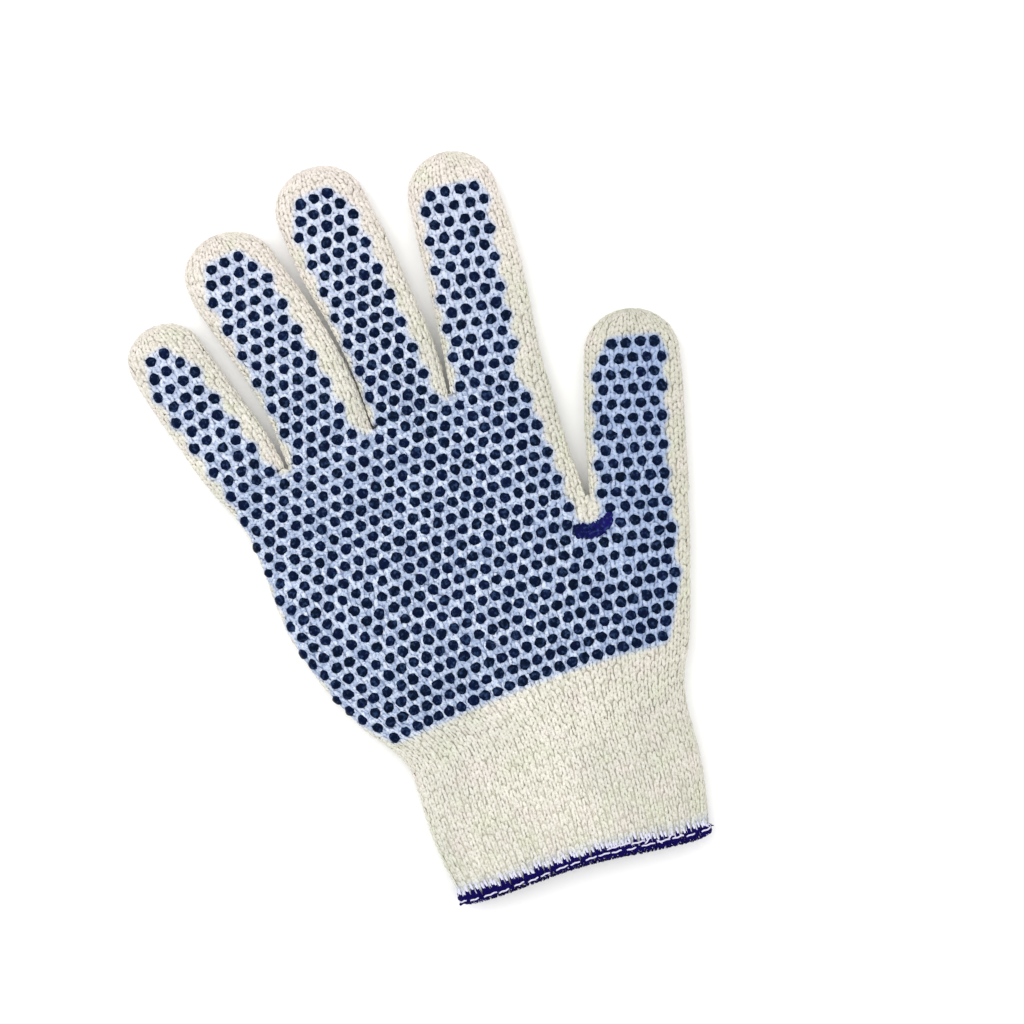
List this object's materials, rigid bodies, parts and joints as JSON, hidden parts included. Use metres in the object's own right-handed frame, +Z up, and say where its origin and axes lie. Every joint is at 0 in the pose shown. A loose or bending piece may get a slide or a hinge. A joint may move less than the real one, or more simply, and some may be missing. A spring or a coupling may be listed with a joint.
{
  "type": "dotted glove",
  "caption": "Seamless string-knit work glove for the right hand, lying palm up, with a dotted rubbery grip on palm and fingers and an overlocked ribbed cuff.",
  "frame": {"origin": "on the surface it lies on, under the middle of the glove's box", "axes": "+Y along the glove from its cuff to the fingertips, +X to the thumb side, +Z up through the palm side"},
  "size_m": [0.173, 0.242, 0.0119],
  "materials": {
    "knit": "matt cream cotton string knit",
    "overlock_thread": "matt indigo thread",
    "grip_print": "glossy navy PVC"
  },
  "bodies": {
    "root": {"palm": "knit", "little_finger": "knit", "ring_finger": "knit", "middle_finger": "knit", "index_finger": "knit", "thumb": "knit", "cuff": "knit", "cuff_edge": "overlock_thread", "print_palm": "grip_print", "print_little_finger": "grip_print", "print_ring_finger": "grip_print", "print_middle_finger": "grip_print", "print_index_finger": "grip_print", "print_thumb": "grip_print"}
  },
  "joints": []
}
